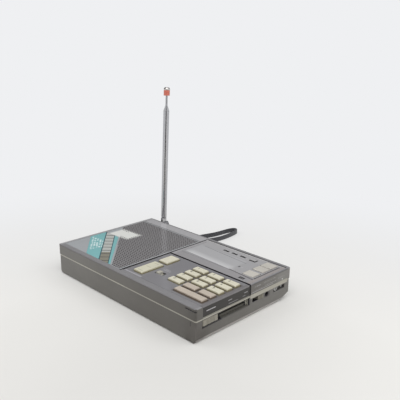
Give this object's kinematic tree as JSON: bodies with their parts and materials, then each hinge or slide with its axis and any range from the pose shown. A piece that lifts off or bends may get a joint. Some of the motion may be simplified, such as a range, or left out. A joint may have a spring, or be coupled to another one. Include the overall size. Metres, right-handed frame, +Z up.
{
  "type": "shortwave radio",
  "caption": "Compact flat shortwave radio lying on its back, with keypad, display, speaker grille, side slides, short wrist strap and a pivoting telescopic antenna.",
  "frame": {"origin": "on the table, under the middle of the case and antenna foot", "axes": "+X along the case towards the keypad end, +Y towards the long side with the antenna, +Z up from the table through the face"},
  "size_m": [0.186, 0.2122, 0.1715],
  "materials": {
    "case_grey": "fine grained, painted grey",
    "panel_grey": "satin grey plate",
    "band_cream": "satin warm grey-cream",
    "grille_grey": "satin, perforated",
    "label_foil": "printed foil, turquoise and grey",
    "dark_gloss": "high gloss, nearly black",
    "window_gloss": "high gloss smoked grey",
    "key_cream": "satin cream",
    "key_taupe": "satin taupe",
    "knob_cream": "satin cream, ribbed",
    "black_plastic": "moulded black",
    "chrome_tube": "polished",
    "tip_red": "orange-red cap",
    "strap_black": "woven black ribbon",
    "rubber": "soft black",
    "mat_grey": "silicone grey",
    "screw_steel": "zinc plated",
    "board": "green lacquer",
    "lcd": "grey-green display glass",
    "basket_steel": "zinc grey",
    "paper": "black paper cone",
    "cell": "plain wrapped cell",
    "contact": "nickel plated",
    "jack_metal": "bright collar"
  },
  "bodies": {
    "case": {"front_shell": "case_grey", "rear_shell": "case_grey", "waist_band": "band_cream", "case_screws": "screw_steel", "rubber_feet": "rubber", "speaker_grille": "grille_grey", "corner_label": "label_foil", "legend_strip": "panel_grey", "keypad_panel": "panel_grey", "display_bezel": "panel_grey", "display_window": "window_gloss", "end_panel": "dark_gloss", "volume_track": "black_plastic", "earphone_jack": "black_plastic", "power_jack": "black_plastic", "circuit_board": "board", "key_mat": "mat_grey", "lcd_module": "lcd", "loudspeaker": "basket_steel", "speaker_cone": "paper", "batteries": "cell", "battery_contacts": "contact", "antenna_mount": "black_plastic", "wrist_strap": "strap_black"},
    "battery_cover": {"battery_door": "case_grey"},
    "antenna_swivel": {"antenna_foot": "chrome_tube", "antenna_pin": "chrome_tube"},
    "mast_tip": {"antenna_rod": "chrome_tube", "antenna_tip": "tip_red"},
    "key_0_body": {"key_0": "key_cream"},
    "key_1_body": {"key_1": "key_cream"},
    "key_2_body": {"key_2": "key_cream"},
    "key_3_body": {"key_3": "key_cream"},
    "key_4_body": {"key_4": "key_cream"},
    "key_5_body": {"key_5": "key_cream"},
    "key_6_body": {"key_6": "key_cream"},
    "key_7_body": {"key_7": "key_cream"},
    "key_8_body": {"key_8": "key_cream"},
    "key_9_body": {"key_9": "key_cream"},
    "left_function_key_body": {"left_function_key": "key_taupe"},
    "right_function_key_body": {"right_function_key": "key_taupe"},
    "wide_key_body": {"wide_key": "key_taupe"},
    "scan_key_body": {"scan_key": "key_cream"},
    "mode_key_1_body": {"mode_key_1": "knob_cream"},
    "mode_key_2_body": {"mode_key_2": "knob_cream"},
    "mode_key_3_body": {"mode_key_3": "knob_cream"},
    "set_button_body": {"set_button": "black_plastic"},
    "light_button_body": {"light_button": "black_plastic"},
    "rocker_body": {"rocker_key": "key_cream"},
    "timer_slide_1_body": {"timer_slide_1": "black_plastic"},
    "timer_slide_2_body": {"timer_slide_2": "black_plastic"},
    "timer_slide_3_body": {"timer_slide_3": "black_plastic"},
    "lock_slide_body": {"lock_slide": "knob_cream"},
    "volume_knob_body": {"volume_knob": "knob_cream"},
    "tone_knob_body": {"tone_knob": "knob_cream"},
    "mast_1": {"antenna_tube_1": "chrome_tube"},
    "mast_2": {"antenna_tube_2": "chrome_tube"},
    "mast_3": {"antenna_tube_3": "chrome_tube"},
    "mast_4": {"antenna_tube_4": "chrome_tube"},
    "mast_5": {"antenna_tube_5": "chrome_tube"}
  },
  "joints": [
    {"name": "key_0_press", "type": "slide", "parent": "case", "child": "key_0_body", "axis": [0, 0, -1], "range_m": [0, 0.001], "stiffness_N_per_m": 600, "springref_m": -0.0002},
    {"name": "key_1_press", "type": "slide", "parent": "case", "child": "key_1_body", "axis": [0, 0, -1], "range_m": [0, 0.001], "stiffness_N_per_m": 600, "springref_m": -0.0002},
    {"name": "key_2_press", "type": "slide", "parent": "case", "child": "key_2_body", "axis": [0, 0, -1], "range_m": [0, 0.001], "stiffness_N_per_m": 600, "springref_m": -0.0002},
    {"name": "key_3_press", "type": "slide", "parent": "case", "child": "key_3_body", "axis": [0, 0, -1], "range_m": [0, 0.001], "stiffness_N_per_m": 600, "springref_m": -0.0002},
    {"name": "key_4_press", "type": "slide", "parent": "case", "child": "key_4_body", "axis": [0, 0, -1], "range_m": [0, 0.001], "stiffness_N_per_m": 600, "springref_m": -0.0002},
    {"name": "key_5_press", "type": "slide", "parent": "case", "child": "key_5_body", "axis": [0, 0, -1], "range_m": [0, 0.001], "stiffness_N_per_m": 600, "springref_m": -0.0002},
    {"name": "key_6_press", "type": "slide", "parent": "case", "child": "key_6_body", "axis": [0, 0, -1], "range_m": [0, 0.001], "stiffness_N_per_m": 600, "springref_m": -0.0002},
    {"name": "key_7_press", "type": "slide", "parent": "case", "child": "key_7_body", "axis": [0, 0, -1], "range_m": [0, 0.001], "stiffness_N_per_m": 600, "springref_m": -0.0002},
    {"name": "key_8_press", "type": "slide", "parent": "case", "child": "key_8_body", "axis": [0, 0, -1], "range_m": [0, 0.001], "stiffness_N_per_m": 600, "springref_m": -0.0002},
    {"name": "key_9_press", "type": "slide", "parent": "case", "child": "key_9_body", "axis": [0, 0, -1], "range_m": [0, 0.001], "stiffness_N_per_m": 600, "springref_m": -0.0002},
    {"name": "left_function_key_press", "type": "slide", "parent": "case", "child": "left_function_key_body", "axis": [0, 0, -1], "range_m": [0, 0.001], "stiffness_N_per_m": 600, "springref_m": -0.0002},
    {"name": "right_function_key_press", "type": "slide", "parent": "case", "child": "right_function_key_body", "axis": [0, 0, -1], "range_m": [0, 0.001], "stiffness_N_per_m": 600, "springref_m": -0.0002},
    {"name": "wide_key_press", "type": "slide", "parent": "case", "child": "wide_key_body", "axis": [0, 0, -1], "range_m": [0, 0.001], "stiffness_N_per_m": 800, "springref_m": -0.0002},
    {"name": "scan_key_press", "type": "slide", "parent": "case", "child": "scan_key_body", "axis": [0, 0, -1], "range_m": [0, 0.001], "stiffness_N_per_m": 800, "springref_m": -0.0002},
    {"name": "mode_key_1_press", "type": "slide", "parent": "case", "child": "mode_key_1_body", "axis": [0, 0, -1], "range_m": [0, 0.0007], "stiffness_N_per_m": 800, "springref_m": -0.0002},
    {"name": "mode_key_2_press", "type": "slide", "parent": "case", "child": "mode_key_2_body", "axis": [0, 0, -1], "range_m": [0, 0.0007], "stiffness_N_per_m": 800, "springref_m": -0.0002},
    {"name": "mode_key_3_press", "type": "slide", "parent": "case", "child": "mode_key_3_body", "axis": [0, 0, -1], "range_m": [0, 0.0007], "stiffness_N_per_m": 800, "springref_m": -0.0002},
    {"name": "set_button_press", "type": "slide", "parent": "case", "child": "set_button_body", "axis": [0, 0, -1], "range_m": [0, 0.0006], "stiffness_N_per_m": 600, "springref_m": -0.0002},
    {"name": "light_button_press", "type": "slide", "parent": "case", "child": "light_button_body", "axis": [0, 0, -1], "range_m": [0, 0.0005], "stiffness_N_per_m": 600, "springref_m": -0.0002},
    {"name": "rocker_tip", "type": "hinge", "parent": "case", "child": "rocker_body", "pos_m": [0.0112, -0.0386, 0.0277], "axis": [1, 0, 0], "range_deg": [-3, 3], "stiffness_Nm_per_rad": 0.04},
    {"name": "timer_slide_1_shift", "type": "slide", "parent": "case", "child": "timer_slide_1_body", "axis": [1, 0, 0], "range_m": [0, 0.0032]},
    {"name": "timer_slide_2_shift", "type": "slide", "parent": "case", "child": "timer_slide_2_body", "axis": [1, 0, 0], "range_m": [0, 0.0032]},
    {"name": "timer_slide_3_shift", "type": "slide", "parent": "case", "child": "timer_slide_3_body", "axis": [1, 0, 0], "range_m": [0, 0.0032]},
    {"name": "lock_slide_shift", "type": "slide", "parent": "case", "child": "lock_slide_body", "axis": [1, 0, 0], "range_m": [0, 0.0034]},
    {"name": "volume_slide", "type": "slide", "parent": "case", "child": "volume_knob_body", "axis": [0, 1, 0], "range_m": [0, 0.036]},
    {"name": "tone_slide", "type": "slide", "parent": "case", "child": "tone_knob_body", "axis": [0, -1, 0], "range_m": [0, 0.007]},
    {"name": "battery_door_slide", "type": "slide", "parent": "case", "child": "battery_cover", "axis": [0, 1, 0], "range_m": [0, 0.06]},
    {"name": "antenna_turn", "type": "hinge", "parent": "case", "child": "antenna_swivel", "pos_m": [-0.079, 0.0583, 0.0245], "axis": [0, 1, 0], "range_deg": [-92, 87.7]},
    {"name": "antenna_fold", "type": "hinge", "parent": "antenna_swivel", "child": "mast_1", "pos_m": [-0.079, 0.0583, 0.0245], "axis": [-0.9992, 0, 0.0401], "range_deg": [0, 90]},
    {"name": "antenna_draw_1", "type": "slide", "parent": "mast_1", "child": "mast_2", "axis": [0.0401, 0, 0.9992], "range_m": [0, 0.1]},
    {"name": "antenna_draw_2", "type": "slide", "parent": "mast_2", "child": "mast_3", "axis": [0.0401, 0, 0.9992], "range_m": [0, 0.1]},
    {"name": "antenna_draw_3", "type": "slide", "parent": "mast_3", "child": "mast_4", "axis": [0.0401, 0, 0.9992], "range_m": [0, 0.1]},
    {"name": "antenna_draw_4", "type": "slide", "parent": "mast_4", "child": "mast_5", "axis": [0.0401, 0, 0.9992], "range_m": [0, 0.1]},
    {"name": "antenna_draw_5", "type": "slide", "parent": "mast_5", "child": "mast_tip", "axis": [0.0401, 0, 0.9992], "range_m": [0, 0.1]}
  ]
}
